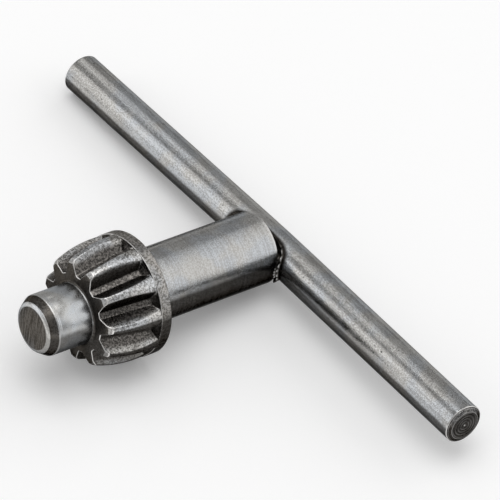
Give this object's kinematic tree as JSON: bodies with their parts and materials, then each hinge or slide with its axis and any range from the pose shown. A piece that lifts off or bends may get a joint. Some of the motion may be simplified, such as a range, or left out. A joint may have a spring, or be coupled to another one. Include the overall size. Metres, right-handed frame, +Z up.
{
  "type": "drill chuck key",
  "caption": "T-handle drill chuck key: round pilot, straight-toothed bevel pinion with a back flange, turned shank and a round bar welded across its end.",
  "frame": {"origin": "middle of the overall box, on the surface that the key lies on", "axes": "+X along the handle bar, -Y towards the pilot, +Z up from the surface; the key's own axis rises 9.7 degrees towards the pilot"},
  "size_m": [0.0614, 0.0298, 0.0124],
  "materials": {
    "body_steel": "turned, milled and oil-blackened steel, the high spots rubbed bright",
    "bar_steel": "drawn bar with a dark satin finish and fine pits",
    "weld_scale": "dark scaled flash with a rubbed crest"
  },
  "bodies": {
    "root": {"key_body": "body_steel", "handle_bar": "bar_steel", "weld_flash": "weld_scale"}
  },
  "joints": []
}
